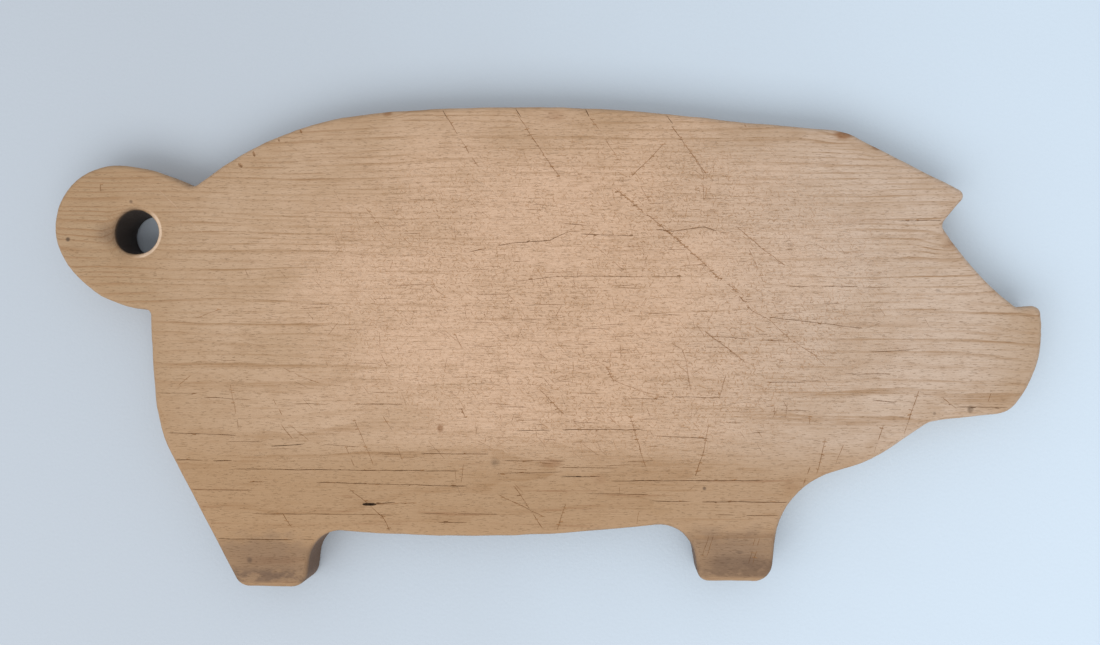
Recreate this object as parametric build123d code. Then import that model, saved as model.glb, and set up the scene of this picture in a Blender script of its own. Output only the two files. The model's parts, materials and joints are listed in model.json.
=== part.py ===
from build123d import *
from math import radians, tan
import os

# A chopping board sawn from one plank in the outline of a pig, with a hanging hole in
# the tail. It lies flat: +X runs from tail to snout, +Y from the feet to the back, and
# +Z up through the thickness. The origin is under the middle of the board, on its
# underside. All sizes are in millimetres.

# Overall sizes
board_length = 465.0        # tail to snout
board_height = 227.5        # soles of the feet to the top of the back
board_thickness = 22.0      # face to face

# Worn edges
edge_rounding = 2.5         # both faces, all round the outline
corner_allowance = 1.0      # the sharpest corner of the outline is this much rounder
hole_rim_rounding = 2.5     # both ends of the hanging hole

# Hanging hole, placed from the middle of the tail's round end
hole_diameter = 20.0
hole_inset = 12.2           # towards the body
hole_drop = 3.5             # below that middle

# Tail
tail_radius = 29.5
tail_drop = 55.25           # middle of the round end, below the top of the back
tail_under_angle = 211.0    # where the round end runs out into the underside, in degrees
tail_notch_inset = 39.0     # notch between tail and back, from the middle of the round end
tail_notch_rise = 17.8
tail_root_inset = 18.5      # where the tail's underside meets the rump
tail_root_drop = 40.7
tail_notch_rounding = 5.0
tail_root_rounding = 3.0

# Rump and hind leg
haunch_inset = 52.5         # from the tail's end
haunch_drop = 57.0          # below the root of the tail
haunch_rounding = 70.0
rump_bulge = 0.5            # how far the upper rump stands out from a straight cut
hind_leg_inset = 93.4       # heel, from the tail's end
hind_foot_width = 32.0
hind_leg_taper = 3.0        # the leg is this much wider at the belly
hind_leg_depth = 27.8       # sole to belly
hind_heel_rounding = 7.0
hind_toe_rounding = 8.0
hind_crotch_rounding = 15.0

# Belly
belly_sag = 5.3             # how far the belly hangs below a straight cut

# Front leg
front_leg_inset = 121.8     # toe, from the snout's end
front_foot_width = 33.2
front_foot_lift = 6.0       # the front sole is this much short of the hind one
front_leg_taper = 4.5
front_leg_depth = 27.5
front_heel_rounding = 5.0
front_toe_rounding = 9.0
front_crotch_rounding = 16.0

# Throat and jaw
throat_run = 3.5            # the leg's front edge leans forwards by this much
throat_fall = 12.6          # corner of the throat, below the bend in the jaw
throat_rounding = 38.0
jaw_inset = 76.0            # bend in the jaw, from the snout's end
jaw_drop = 60.5             # below the middle of the snout
jaw_rounding = 60.0
chin_inset = 50.5           # where the jaw meets the underside of the snout
chin_drop = 42.4
chin_rounding = 11.0

# Snout
snout_lift = 8.5            # middle of the snout, above the middle of the board
snout_radius = 56.0
snout_under_angle = -43.0   # lower end of the snout's round front, in degrees
snout_over_angle = 11.3     # upper end
snout_lip_rounding = 13.0
nostril_inset = 11.3        # step between the snout and the forehead
nostril_rise = 9.9
nostril_rounding = 3.5
snout_tip_allowance = 1.4   # the snout's tip is this much rounder than the worn edge

# Forehead, ear and neck
forehead_hollow = 2.3       # how far the forehead dips behind a straight cut
ear_notch_inset = 44.2      # from the snout's end
ear_notch_drop = 57.4       # below the top of the back
ear_notch_rounding = 3.5
ear_tip_inset = 32.2
ear_tip_drop = 43.2
poll_inset = 88.5           # top of the head, behind the ear
poll_drop = 13.3
poll_rounding = 30.0

# Back
withers_inset = 137.0       # where the neck starts, from the snout's end
withers_drop = 8.6
withers_rounding = 90.0
crest_offset = -17.0        # highest point of the back, from the middle of the board
loin_inset = 157.0          # where the back starts to fall to the tail, from its end
loin_drop = 2.1

# Places that the stretches are measured from
tail_end = -board_length / 2
snout_end = board_length / 2
back_top = board_height / 2
hind_sole = -board_height / 2
front_sole = hind_sole + front_foot_lift
tail_middle = Vector(tail_end + tail_radius, back_top - tail_drop)
snout_middle = Vector(snout_end - snout_radius, snout_lift)
hole_middle = tail_middle + Vector(hole_inset, -hole_drop)


def around(middle, radius, angle):
    """Return the point at an angle in degrees on a circle."""
    return middle + Vector(radius, 0).rotate(Axis.Z, angle)


# Corners of the outline, in order from the notch above the tail
tail_notch = tail_middle + Vector(tail_notch_inset, tail_notch_rise)
tail_top = around(tail_middle, tail_radius, 90)
tail_tip = around(tail_middle, tail_radius, 180)
tail_under = around(tail_middle, tail_radius, tail_under_angle)
tail_root = tail_middle + Vector(tail_root_inset, -tail_root_drop)
haunch = Vector(tail_end + haunch_inset, tail_root.Y - haunch_drop)
hind_heel = Vector(tail_end + hind_leg_inset, hind_sole)
hind_toe = hind_heel + Vector(hind_foot_width, 0)
hind_crotch = hind_toe + Vector(hind_leg_taper, hind_leg_depth)
front_toe = Vector(snout_end - front_leg_inset, front_sole)
front_heel = front_toe - Vector(front_foot_width, 0)
front_crotch = front_heel + Vector(-front_leg_taper, front_leg_depth)
jaw = Vector(snout_end - jaw_inset, snout_lift - jaw_drop)
throat = Vector(front_toe.X + throat_run, jaw.Y - throat_fall)
chin = Vector(snout_end - chin_inset, snout_lift - chin_drop)
snout_lip = around(snout_middle, snout_radius, snout_under_angle)
snout_front = around(snout_middle, snout_radius, 0)
snout_tip = around(snout_middle, snout_radius, snout_over_angle)
nostril = Vector(snout_end - nostril_inset, snout_lift + nostril_rise)
ear_notch = Vector(snout_end - ear_notch_inset, back_top - ear_notch_drop)
ear_tip = Vector(snout_end - ear_tip_inset, back_top - ear_tip_drop)
poll = Vector(snout_end - poll_inset, back_top - poll_drop)
withers = Vector(snout_end - withers_inset, back_top - withers_drop)
crest = Vector(crest_offset, back_top)
loin = Vector(tail_end + loin_inset, back_top - loin_drop)

# The tail's round end, and the stretches that run on from it without a corner
tail_over_arc = TangentArc(tail_top, tail_notch, tangent=(1, 0))
tail_arc = ThreePointArc(tail_top, tail_tip, tail_under)
tail_under_arc = TangentArc(tail_under, tail_root, tangent=tail_arc % 1)

# The back falls from its crest both ways
neck_arc = TangentArc(crest, withers, tangent=(1, 0))
back_arc = TangentArc(crest, loin, tangent=(-1, 0))
loin_arc = TangentArc(loin, tail_notch, tangent=back_arc % 1)

# The throat is as round as the front edge of the leg leaves room for
leg_front = throat - front_toe
throat_turn = leg_front.get_angle(jaw - throat)
throat_room = (leg_front.length - front_toe_rounding) / tan(radians(throat_turn / 2))

stretches = [
    tail_over_arc,
    tail_arc,
    tail_under_arc,
    SagittaArc(tail_root, haunch, -rump_bulge),
    Polyline(haunch, hind_heel, hind_toe, hind_crotch),
    SagittaArc(hind_crotch, front_crotch, -belly_sag),
    Polyline(front_crotch, front_heel, front_toe, throat, jaw, chin, snout_lip),
    ThreePointArc(snout_lip, snout_front, snout_tip),
    Line(snout_tip, nostril),
    SagittaArc(nostril, ear_notch, forehead_hollow),
    Polyline(ear_notch, ear_tip, poll, withers),
    neck_arc,
    back_arc,
    loin_arc,
]

# How round each corner is
corner_roundings = [
    (tail_notch, tail_notch_rounding),
    (tail_root, tail_root_rounding),
    (haunch, haunch_rounding),
    (hind_heel, hind_heel_rounding),
    (hind_toe, hind_toe_rounding),
    (hind_crotch, hind_crotch_rounding),
    (front_crotch, front_crotch_rounding),
    (front_heel, front_heel_rounding),
    (front_toe, front_toe_rounding),
    (throat, min(throat_rounding, throat_room)),
    (jaw, jaw_rounding),
    (chin, chin_rounding),
    (snout_lip, snout_lip_rounding),
    (snout_tip, edge_rounding + snout_tip_allowance),
    (nostril, nostril_rounding),
    (ear_notch, ear_notch_rounding),
    (ear_tip, edge_rounding + corner_allowance),
    (poll, poll_rounding),
    (withers, withers_rounding),
]


def cut_outline():
    """Return the flat outline of the board with its corners rounded."""
    outline = make_face(stretches)
    for corner, rounding in corner_roundings:
        vertex = outline.vertices().sort_by_distance(corner)[0]
        outline = fillet(vertex, rounding)
    return outline


def cut_board():
    """Return the sawn board with its worn edges and hanging hole."""
    plank = extrude(cut_outline(), board_thickness)
    heights = plank.edges().group_by(Axis.Z)
    plank = fillet(heights[0] + heights[-1], edge_rounding)
    drill = Pos(hole_middle) * Cylinder(hole_diameter / 2, 3 * board_thickness)
    drilled = plank - drill
    rims = new_edges(plank, drill, combined=drilled).filter_by(GeomType.CIRCLE)
    return fillet(rims, hole_rim_rounding)


os.makedirs("parts", exist_ok=True)
board = cut_board()
export_step(board, "parts/board.step")
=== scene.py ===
"""A worn pine chopping board sawn in the outline of a pig, on a pale studio floor.

The board is one plank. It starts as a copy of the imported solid, so its outline, its
thickness and its hanging hole are the real ones. The wear, the knife cuts and the drying
checks are then modelled into it, and one finish carries the grain through the whole plank.
"""

import json
import logging
import math
import random
from contextlib import contextmanager
from dataclasses import dataclass, field
from enum import Enum
from functools import partial, reduce
from typing import Callable, Dict, Iterator, List, Optional, Sequence, Tuple, Union

import bmesh
import bpy
import numpy as np
from mathutils import Matrix, Vector
from mathutils.geometry import intersect_line_line_2d, intersect_point_line
from mathutils.kdtree import KDTree

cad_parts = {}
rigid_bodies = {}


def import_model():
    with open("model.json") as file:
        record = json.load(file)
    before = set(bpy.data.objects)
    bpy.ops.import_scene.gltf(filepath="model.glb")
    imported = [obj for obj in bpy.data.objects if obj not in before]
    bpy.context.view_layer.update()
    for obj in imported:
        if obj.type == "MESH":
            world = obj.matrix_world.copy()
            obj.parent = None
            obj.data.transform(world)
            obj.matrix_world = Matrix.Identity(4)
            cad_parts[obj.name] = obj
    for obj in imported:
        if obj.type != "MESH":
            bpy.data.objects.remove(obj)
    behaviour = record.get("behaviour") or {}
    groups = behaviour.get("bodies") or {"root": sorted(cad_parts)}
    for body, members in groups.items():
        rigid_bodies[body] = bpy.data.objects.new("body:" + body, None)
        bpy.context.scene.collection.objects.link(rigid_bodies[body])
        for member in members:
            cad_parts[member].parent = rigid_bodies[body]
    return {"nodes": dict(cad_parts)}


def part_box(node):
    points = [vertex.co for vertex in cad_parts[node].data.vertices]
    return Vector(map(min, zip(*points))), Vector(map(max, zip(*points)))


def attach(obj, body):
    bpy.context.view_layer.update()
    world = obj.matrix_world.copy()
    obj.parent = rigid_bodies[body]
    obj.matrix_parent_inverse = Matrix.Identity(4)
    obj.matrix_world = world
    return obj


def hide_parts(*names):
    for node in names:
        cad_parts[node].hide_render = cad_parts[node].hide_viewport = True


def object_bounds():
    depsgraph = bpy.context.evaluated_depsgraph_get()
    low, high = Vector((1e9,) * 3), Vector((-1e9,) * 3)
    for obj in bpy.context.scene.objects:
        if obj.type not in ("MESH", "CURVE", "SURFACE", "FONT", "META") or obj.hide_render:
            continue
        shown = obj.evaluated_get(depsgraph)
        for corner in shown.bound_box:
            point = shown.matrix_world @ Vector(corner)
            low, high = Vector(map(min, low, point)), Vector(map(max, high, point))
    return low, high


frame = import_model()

logging.basicConfig(level=logging.INFO, format="%(levelname)s %(name)s: %(message)s")
log = logging.getLogger("pine_board")

CAD_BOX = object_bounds()
MM = 0.001
MERGE = 1e-6

Point = Tuple[float, float]
Colour = Tuple[float, float, float]
Socket = bpy.types.NodeSocket
Feed = Union[Socket, float, Tuple[float, ...]]
Setting = Union[str, bool]


# --------------------------------------------------------------------------- hand tools


def leave_nothing_selected() -> None:
    """Deselect every object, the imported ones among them."""
    for one in bpy.context.view_layer.objects:
        one.select_set(False)


def take(piece: bpy.types.Object) -> None:
    """Make one object the only selected and active one."""
    leave_nothing_selected()
    piece.select_set(True)
    bpy.context.view_layer.objects.active = piece


@contextmanager
def editing(piece: bpy.types.Object) -> Iterator[None]:
    """Hold one object in edit mode, with everything selected at first."""
    take(piece)
    bpy.ops.object.mode_set(mode="EDIT")
    bpy.ops.mesh.select_all(action="SELECT")
    yield
    bpy.ops.object.mode_set(mode="OBJECT")


def pick(piece: bpy.types.Object, wanted: Callable[[Vector], bool]) -> None:
    """Select the vertices of a piece in edit mode by their place.

    Args:
        piece: The object that is in edit mode.
        wanted: Says of a vertex's place whether it is selected.
    """
    body = bmesh.from_edit_mesh(piece.data)
    for vertex in body.verts:
        vertex.select = wanted(vertex.co)
    body.select_flush_mode()
    bmesh.update_edit_mesh(piece.data)


def slice_at(place: Sequence[float], normal: Sequence[float]) -> None:
    """Bisect everything in edit mode at a plane, and keep both sides."""
    bpy.ops.mesh.select_all(action="SELECT")
    bpy.ops.mesh.bisect(plane_co=place, plane_no=normal, threshold=MERGE)


def apply(piece: bpy.types.Object, modifier: bpy.types.Modifier) -> None:
    """Apply a modifier to a piece."""
    take(piece)
    bpy.ops.object.modifier_apply(modifier=modifier.name)


def ease(value: np.ndarray, start: float, end: float) -> np.ndarray:
    """Return a smooth step from 0 at start to 1 at end."""
    t = np.clip((value - start) / (end - start), 0.0, 1.0)
    return t * t * (3.0 - 2.0 * t)


def places(mesh: bpy.types.Mesh) -> np.ndarray:
    """Return the vertices of a mesh as rows, in millimetres."""
    rows = np.zeros(len(mesh.vertices) * 3)
    mesh.vertices.foreach_get("co", rows)
    return rows.reshape(-1, 3) / MM


# --------------------------------------------------------------------------- finishes


class Bench:
    """Adds and joins the nodes of one finish."""

    def __init__(self, name: str) -> None:
        """Start an empty finish with that name."""
        self.material = bpy.data.materials.new(name)
        self.material.use_nodes = True
        self.tree = self.material.node_tree
        self.tree.nodes.clear()
        out = self.tree.nodes.new("ShaderNodeOutputMaterial")
        self.shader = self.tree.nodes.new("ShaderNodeBsdfPrincipled")
        self.tree.links.new(self.shader.outputs[0], out.inputs[0])
        self.colour: Feed = (0.0, 0.0, 0.0)

    def feed(self, socket: Socket, value: Feed) -> None:
        """Join a socket to another, or set it to a number, a vector or a colour."""
        if isinstance(value, bpy.types.NodeSocket):
            self.tree.links.new(value, socket)
        elif socket.type == "RGBA" and len(value) == 3:
            socket.default_value = (*value, 1.0)
        else:
            socket.default_value = value

    def node(self, kind: str, feeds: Dict[Union[int, str], Feed], **settings: Setting) -> bpy.types.Node:
        """Add a node, set it up and join what its inputs read.

        Args:
            kind: The kind of node.
            feeds: What each input reads or is set to, by its name or number.
            settings: The node's own settings.

        Returns:
            The node.
        """
        node = self.tree.nodes.new("ShaderNode" + kind)
        for name, value in settings.items():
            setattr(node, name, value)
        for socket, value in feeds.items():
            self.feed(node.inputs[socket], value)
        return node

    def math(self, operation: str, first: Feed, second: Feed = 0.0) -> Socket:
        """Return the result of one sum on numbers."""
        return self.node("Math", {0: first, 1: second}, operation=operation).outputs[0]

    def add(self, *terms: Feed) -> Socket:
        """Return the sum of several numbers."""
        return reduce(partial(self.math, "ADD"), terms)

    def times(self, *terms: Feed) -> Socket:
        """Return the product of several numbers."""
        return reduce(partial(self.math, "MULTIPLY"), terms)

    def most(self, *terms: Feed) -> Socket:
        """Return the largest of several numbers."""
        return reduce(partial(self.math, "MAXIMUM"), terms)

    def drift(self, noise: Feed, size: float) -> Socket:
        """Return noise as a shift of up to half a size either way."""
        return self.times(self.add(noise, -0.5), size)

    def vector(self, operation: str, first: Feed, second: Feed) -> Socket:
        """Return the vector that one sum on vectors gives."""
        return self.node("VectorMath", {0: first, 1: second}, operation=operation).outputs[0]

    def length(self, value: Feed) -> Socket:
        """Return how long a vector is."""
        return self.node("VectorMath", {0: value}, operation="LENGTH").outputs["Value"]

    def split(self, value: Feed) -> Tuple[Socket, ...]:
        """Return the three parts of a vector."""
        return tuple(self.node("SeparateXYZ", {0: value}).outputs)

    def joined(self, x: Feed, y: Feed, z: Feed = 0.0) -> Socket:
        """Return a vector made of three numbers."""
        return self.node("CombineXYZ", {0: x, 1: y, 2: z}).outputs[0]

    def step(self, value: Feed, start: float, end: float, low: float = 0.0, high: float = 1.0) -> Socket:
        """Return a smooth step from low at start to high at end."""
        if start > end:
            start, end, low, high = end, start, high, low
        feeds = {"Value": value, "From Min": start, "From Max": end, "To Min": low, "To Max": high}
        return self.node("MapRange", feeds, interpolation_type="SMOOTHSTEP").outputs["Result"]

    def noise(self, place: Feed, detail: float = 2.0, roughness: float = 0.5) -> Socket:
        """Return soft noise that changes over about one unit of the place given."""
        feeds = {"Vector": place, "Scale": 1.0, "Detail": detail, "Roughness": roughness}
        return self.node("TexNoise", feeds, noise_dimensions="3D").outputs["Fac"]

    def stretched(self, place: Feed, lengths: Sequence[float], shift: float = 0.0) -> Socket:
        """Return a place measured in lengths of its own along each axis, for noise to read."""
        scale = [1.0 / length for length in lengths]
        feeds = {"Vector": place, "Location": (shift, shift * 0.7, shift * 0.3), "Scale": scale}
        return self.node("Mapping", feeds, vector_type="POINT").outputs[0]

    def colours(self, factor: Feed, low: Feed, high: Feed) -> Socket:
        """Return a colour mixed from two others."""
        node = self.node("Mix", {"Factor": factor}, data_type="RGBA", clamp_factor=True)
        first, second = [socket for socket in node.inputs if socket.type == "RGBA"]
        self.feed(first, low)
        self.feed(second, high)
        return [socket for socket in node.outputs if socket.type == "RGBA"][0]

    def paint(self, amount: Feed, shade: "Shade") -> None:
        """Lay a shade over the colour so far, as far as the amount says from 0 to 1."""
        self.colour = self.colours(amount, self.colour, shade.value)

    def dress(self, **feeds: Feed) -> None:
        """Feed the shader's own inputs, an underscore standing for a space in their names."""
        for name, value in feeds.items():
            self.feed(self.shader.inputs[name.replace("_", " ")], value)

    def relief(self, height: Feed, strength: float, distance: float) -> None:
        """Give the surface a relief, whose height is measured in distances."""
        bump = self.node("Bump", {"Height": height, "Strength": strength, "Distance": distance})
        self.dress(Normal=bump.outputs[0])

    def attribute(self, name: str) -> Socket:
        """Return a number that the mesh carries."""
        return self.node("Attribute", {}, attribute_type="GEOMETRY", attribute_name=name).outputs["Fac"]

    def scratches(self, place: Feed, cell: float, lean: float, spread: float, width: float,
                  reach: float, few: float) -> Socket:
        """Return straight scratches, at most one in each cell of a random pattern.

        Args:
            place: The place on the board, in millimetres.
            cell: The size of a cell.
            lean: The angle that they lie about, in degrees.
            spread: How far either side of it they turn, in degrees.
            width: How wide a scratch is.
            reach: Half its length.
            few: The share of cells that have none.

        Returns:
            The depth of the scratch there, from 0 to 1.
        """
        feeds = {"Vector": place, "Scale": 1.0 / cell, "Randomness": 1.0}
        cells = self.node("TexVoronoi", feeds, voronoi_dimensions="2D", feature="F1")
        turn_roll, depth_roll, _ = self.split(cells.outputs["Color"])
        x, y, _ = self.split(self.vector("SUBTRACT", place, cells.outputs["Position"]))
        half = math.radians(spread)
        turn = self.add(self.drift(turn_roll, 2.0 * half), math.radians(lean))
        cosine = self.math("COSINE", turn)
        sine = self.math("SINE", turn)
        along = self.add(self.times(x, cosine), self.times(y, sine))
        across = self.math("SUBTRACT", self.times(y, cosine), self.times(x, sine))
        line = self.step(self.math("ABSOLUTE", across), width, width * 0.25)
        ends = self.step(self.math("ABSOLUTE", along), reach, reach * 0.6)
        return self.times(line, ends, self.step(depth_roll, few, 1.0))


class Shade(Enum):
    """The colours of the wood, and of the light and shade painted on it, as linear values."""

    PALE = (0.632, 0.432, 0.296)
    PLAIN = (0.485, 0.335, 0.218)
    PATINA = (0.385, 0.240, 0.130)
    HANDLED = (0.385, 0.258, 0.150)
    PAINTED_COOL_LIGHT = (0.575, 0.452, 0.358)
    LATEWOOD_AND_WALL_SHADE = (0.315, 0.178, 0.085)
    CUT = (0.350, 0.180, 0.075)
    RESIN = (0.250, 0.115, 0.048)
    GRIME = (0.060, 0.036, 0.022)
    FRESH_AND_HIGHLIGHT = (0.740, 0.560, 0.410)
    SOOT_AND_SHADE = (0.105, 0.062, 0.042)
    TORN = (0.430, 0.215, 0.085)
    HOLE_SHADE = (0.024, 0.022, 0.022)


@dataclass(frozen=True)
class Spot:
    """An oval stain or a small knot on the upper face, in millimetres."""

    middle: Point
    size: Point
    shade: Shade
    strength: float = 0.7
    soft: float = 0.6


SPOTS: Tuple[Spot, ...] = (
    Spot((144, 98), (4.8, 2.4), Shade.RESIN, 1.0),
    Spot((159, 92), (2.2, 1.4), Shade.RESIN, 0.9),
    Spot((11, 109), (5.0, 2.6), Shade.RESIN, 0.5, 0.9),
    Spot((-69, 111), (2.6, 1.5), Shade.RESIN, 0.9),
    Spot((192, 47), (4.0, 2.4), Shade.RESIN, 0.5, 0.9),
    Spot((9, -54), (5.5, 2.3), Shade.RESIN, 0.45, 0.5),
    Spot((-17, -54), (2.4, 2.0), Shade.GRIME, 0.45, 0.9),
    Spot((-43, -38), (1.6, 2.4), Shade.RESIN, 0.8),
    Spot((32, -61), (3.4, 2.4), Shade.RESIN, 0.35, 0.9),
    Spot((23, -10), (2.6, 1.4), Shade.RESIN, 0.35, 0.9),
    Spot((-225, 52), (1.2, 1.1), Shade.GRIME, 1.0),
    Spot((-194, 70), (0.9, 0.9), Shade.GRIME, 0.8),
    Spot((186, 26), (1.2, 0.9), Shade.GRIME, 0.4),
    Spot((80, -65), (0.9, 0.9), Shade.GRIME, 0.7),
    Spot((200, -28), (1.5, 1.9), Shade.GRIME, 0.75),
    Spot((184, -30), (0.8, 0.8), Shade.GRIME, 0.6),
    Spot((120, -63), (4.5, 4.5), Shade.RESIN, 0.25, 0.9),
    Spot((60, -74), (8.0, 3.5), Shade.PATINA, 0.6, 0.9),
    Spot((96, -94), (2.0, 0.8), Shade.GRIME, 0.6),
    Spot((95, -100), (17.0, 5.0), Shade.SOOT_AND_SHADE, 0.80, 0.9),
    Spot((-121, -101), (14.0, 2.8), Shade.RESIN, 0.34, 0.9),
    Spot((-134, -101), (1.4, 1.7), Shade.GRIME, 0.55),
    Spot((-99, -98), (1.0, 1.3), Shade.GRIME, 0.55),
    Spot((80, -105), (3.5, 1.6), Shade.GRIME, 0.5),
    Spot((109, -102), (3.0, 2.5), Shade.GRIME, 0.45, 0.9),
)


@dataclass(frozen=True)
class WornPine:
    """Old flat-sawn pine: growth rings about a pith line below the board, worn pale on top."""

    name: str = "worn_pine"
    pith: Point = (-60.0, -97.0)
    ring_width: float = 2.2
    pith_slope: float = 0.010
    knot_count: int = 5
    knot_reach: float = 3.2
    knot_push: float = 2.6
    worn_middle: Point = (28.0, 25.0)
    worn_size: Point = (170.0, 100.0)
    hole: Point = (0.0, 0.0)
    refraction: float = 1.45
    gloss: float = 0.30
    roughness: float = 0.60
    relief: float = 0.9

    def build(self) -> bpy.types.Material:
        """Return the finish as a material."""
        return PineBench(self).finish()


class PineBench(Bench):
    """Paints worn pine: what the finish reads is kept at hand, in millimetres."""

    def __init__(self, pine: WornPine) -> None:
        """Read the place, what the mesh carries, and the noises that several steps share."""
        super().__init__(pine.name)
        self.pine = pine
        here = self.node("TexCoord", {}).outputs["Object"]
        self.place = self.vector("MULTIPLY", here, (1.0 / MM, 1.0 / MM, 1.0 / MM))
        self.x, self.y, self.z = self.split(self.place)
        self.rim = self.attribute("rim")
        self.tone = self.attribute("tone")
        self.upper = self.step(self.z, 18.0, 21.3)
        self.broad = self.veil((46.0, 20.0, 40.0), 0.0, 3.0)
        self.mottle = self.veil((9.0, 5.0, 9.0), 5.0, 4.0, 0.6)
        self.nap = self.veil((1.30, 0.62, 0.62), 8.0, 3.0, 0.62)
        self.streaks = self.veil((34.0, 0.75, 0.75), 1.0, 3.0, 0.65)
        self.fibres = self.veil((5.0, 0.28, 0.28), 2.0, 2.0, 0.6)
        self.dashes = self.step(self.veil((3.0, 0.34, 0.34), 7.0, 1.0), 0.62, 0.73)
        # where years of cutting have scraped the board pale
        reach = self.oval(pine.worn_middle, pine.worn_size)
        reach = self.add(reach, self.drift(self.broad, 0.46))
        self.worn = self.times(self.step(reach, 1.12, 0.42), self.upper)

    def oval(self, middle: Point, size: Point) -> Socket:
        """Return how far out a place is in an oval: 1 on its edge."""
        along = self.times(self.add(self.x, -middle[0]), 1.0 / size[0])
        across = self.times(self.add(self.y, -middle[1]), 1.0 / size[1])
        return self.length(self.joined(along, across))

    def spot(self, middle: Point, size: Point, soft: float) -> Socket:
        """Return 1 in an oval spot and 0 outside it; soft is how much of it is edge, from 0 to 1."""
        return self.step(self.oval(middle, size), 1.0 + soft / 2, 1.0 - soft)

    def veil(self, lengths: Sequence[float], shift: float, detail: float, rough: float = 0.5) -> Socket:
        """Return noise in the plank that changes over these lengths along each axis."""
        return self.noise(self.stretched(self.place, lengths, shift), detail, rough)

    def rings(self) -> Tuple[Socket, Socket]:
        """Work out the growth rings.

        Returns:
            The latewood line, from 0 to 1, and how dark this ring's line is.
        """
        slow = self.veil((150.0, 34.0, 34.0), 0.0, 2.0)
        quick = self.veil((22.0, 4.0, 4.0), 3.0, 2.0)
        pith_y, pith_z = self.pine.pith
        out = self.length(self.joined(self.add(self.y, -pith_y), self.add(self.z, -pith_z)))
        knots = 0.0
        for spot in SPOTS[: self.pine.knot_count]:
            size = (spot.size[0] * self.pine.knot_reach, spot.size[1] * self.pine.knot_reach)
            push = self.spot(spot.middle, size, 1.0)
            knots = self.add(knots, self.times(push, self.pine.knot_push))
        slope = self.times(self.x, self.pine.pith_slope)
        radius = self.add(out, slope, self.drift(slow, 9.0), self.drift(quick, 0.9), knots)
        years = self.noise(self.joined(self.times(radius, 0.16), 4.0, 9.0), 1.0)
        count = self.add(self.times(radius, 1.0 / self.pine.ring_width), self.times(years, 2.4))
        part = self.math("FRACT", count)
        line = self.times(self.step(part, 0.54, 0.90), self.step(part, 1.0, 0.95))
        roll = self.node("TexWhiteNoise", {"W": self.math("FLOOR", count)}, noise_dimensions="1D")
        return line, self.step(roll.outputs["Value"], 0.0, 1.0, 0.40, 1.0)

    def body(self) -> Tuple[Socket, Socket]:
        """Paint the broad colours of the board, and the painted cool light on the snout's side.

        Returns:
            How far a place belongs to the tail, and how far to the belly.
        """
        self.colour = self.colours(self.worn, Shade.PLAIN.value, Shade.PALE.value)
        tail = self.step(self.add(self.x, self.drift(self.broad, 60.0)), -150.0, -200.0)
        self.paint(self.times(tail, 0.9), Shade.HANDLED)
        # painted light: the snout's side is painted lighter and bluer, where cool light falls
        snout_cool_light = self.step(self.add(self.x, self.drift(self.broad, 70.0)), 35.0, 160.0)
        self.paint(self.times(snout_cool_light, 0.85), Shade.PAINTED_COOL_LIGHT)
        self.paint(self.times(self.step(self.x, 196.0, 232.0), 0.50), Shade.HANDLED)
        rump = self.times(self.step(self.x, -95.0, -165.0), self.step(self.y, 25.0, -50.0))
        self.paint(self.times(rump, self.upper, 0.45), Shade.PATINA)
        belly = self.step(self.add(self.y, self.drift(self.broad, 22.0)), -38.0, -62.0)
        belly = self.times(belly, self.step(self.x, -150.0, 60.0, 0.95, 0.72))
        self.paint(self.times(belly, self.upper), Shade.PATINA)
        cloudy = self.step(self.broad, 0.40, 0.68, 0.0, 0.30)
        self.paint(self.times(cloudy, self.step(self.worn, 0.2, 1.0, 1.0, 0.45)), Shade.PATINA)
        self.paint(self.step(self.mottle, 0.46, 0.66, 0.0, 0.16), Shade.LATEWOOD_AND_WALL_SHADE)
        return tail, belly

    def grain(self, tail: Socket, belly: Socket) -> Socket:
        """Draw the growth rings, nearly scraped away in the worn middle, and the fibres.

        Args:
            tail: How far a place belongs to the tail.
            belly: How far it belongs to the belly.

        Returns:
            How strongly a growth ring shows.
        """
        line, dark = self.rings()
        patches = self.veil((26.0, 7.0, 7.0), 4.0, 2.0)
        veins = self.veil((60.0, 2.6, 2.6), 6.0, 3.0, 0.6)
        clear = self.step(self.worn, 0.1, 0.95, 0.88, 0.26)
        broken = self.times(
            self.step(self.streaks, 0.34, 0.60, 0.25, 1.0),
            self.step(patches, 0.32, 0.55, 0.35, 1.0),
        )
        broken = self.most(broken, self.times(tail, self.step(patches, 0.30, 0.50, 0.45, 1.0)))
        dark = self.most(dark, self.times(tail, 0.85))
        ring = self.times(line, dark, clear, broken)
        self.paint(ring, Shade.LATEWOOD_AND_WALL_SHADE)
        self.paint(self.step(self.streaks, 0.48, 0.74, 0.0, 0.36), Shade.LATEWOOD_AND_WALL_SHADE)
        self.paint(self.step(self.fibres, 0.50, 0.74, 0.0, 0.30), Shade.LATEWOOD_AND_WALL_SHADE)
        self.paint(self.times(self.dashes, 0.50), Shade.LATEWOOD_AND_WALL_SHADE)
        shown = self.step(belly, 0.0, 1.0, 0.12, 0.55)
        self.paint(self.times(self.step(veins, 0.60, 0.72), shown), Shade.RESIN)
        return ring

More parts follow.
